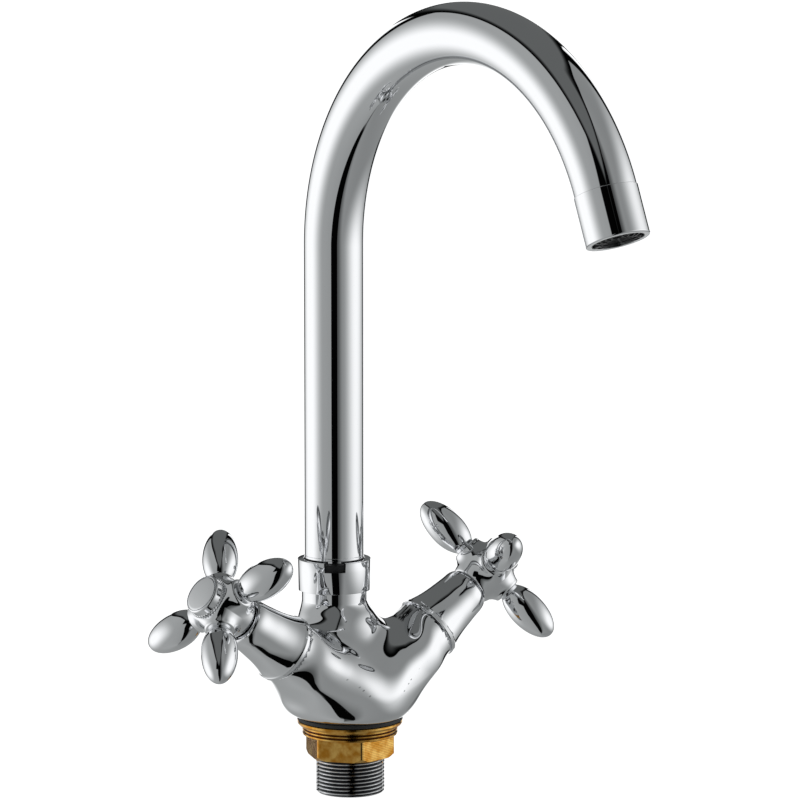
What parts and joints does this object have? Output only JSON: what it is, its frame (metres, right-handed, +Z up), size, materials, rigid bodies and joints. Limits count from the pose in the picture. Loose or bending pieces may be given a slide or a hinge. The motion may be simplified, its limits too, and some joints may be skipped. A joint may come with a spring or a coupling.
{
  "type": "two-handle kitchen mixer tap",
  "caption": "Kitchen mixer tap with a swivelling swan-neck spout, inclined cross handles on ceramic-disc valves and a threaded mounting shank.",
  "frame": {"origin": "centre of the round foot on the sink surface, at the underside of the base seal", "axes": "+Z up along the shank, -Y to the front where the spout points, -X towards the hot valve and +X towards the cold valve"},
  "size_m": [0.1722, 0.2044, 0.3198],
  "materials": {
    "chrome": "polished chrome plate",
    "brass": "machined brass",
    "steel": "stainless steel",
    "black_rubber": "matt rubber",
    "black_plastic": "matt plastic",
    "ceramic": "lapped ceramic"
  },
  "bodies": {
    "tap": {"mixer_body": "chrome", "base_seal": "black_rubber", "threaded_shank": "chrome", "spout_nut": "chrome", "slide_ring": "black_plastic", "hot_valve_housing": "brass", "hot_housing_oring": "black_rubber", "hot_seat_seal": "black_rubber", "hot_fixed_disc": "ceramic", "hot_bonnet": "chrome", "cold_valve_housing": "brass", "cold_housing_oring": "black_rubber", "cold_seat_seal": "black_rubber", "cold_fixed_disc": "ceramic", "cold_bonnet": "chrome"},
    "nut": {"mounting_nut": "brass"},
    "spout": {"spout_tube": "chrome", "spout_end_fitting": "chrome", "spout_oring_lower": "black_rubber", "spout_oring_upper": "black_rubber", "outlet_bush": "brass", "aerator_housing": "chrome", "aerator_seal": "black_rubber", "aerator_screen": "steel", "aerator_insert": "black_plastic"},
    "hot_control": {"hot_spindle": "brass", "hot_moving_disc": "ceramic", "hot_spindle_oring_lower": "black_rubber", "hot_spindle_oring_upper": "black_rubber", "hot_circlip": "steel", "hot_handle": "chrome", "hot_handle_screw": "steel", "hot_button": "chrome"},
    "cold_control": {"cold_spindle": "brass", "cold_moving_disc": "ceramic", "cold_spindle_oring_lower": "black_rubber", "cold_spindle_oring_upper": "black_rubber", "cold_circlip": "steel", "cold_handle": "chrome", "cold_handle_screw": "steel", "cold_button": "chrome"}
  },
  "joints": [
    {"name": "spout_swivel", "type": "hinge", "parent": "tap", "child": "spout", "pos_m": [0, 0.0105, 0.06], "axis": [0, 0, 1], "continuous": true},
    {"name": "hot_turn", "type": "hinge", "parent": "tap", "child": "hot_control", "pos_m": [-0.04974, -0.0045, 0.04305], "axis": [-0.829, 0, 0.5592], "range_deg": [0, 180]},
    {"name": "cold_turn", "type": "hinge", "parent": "tap", "child": "cold_control", "pos_m": [0.04974, -0.0045, 0.04305], "axis": [0.829, 0, 0.5592], "range_deg": [0, 180]},
    {"name": "nut_travel", "type": "slide", "parent": "tap", "child": "nut", "axis": [0, 0, -1], "range_m": [0, 0.014]}
  ]
}
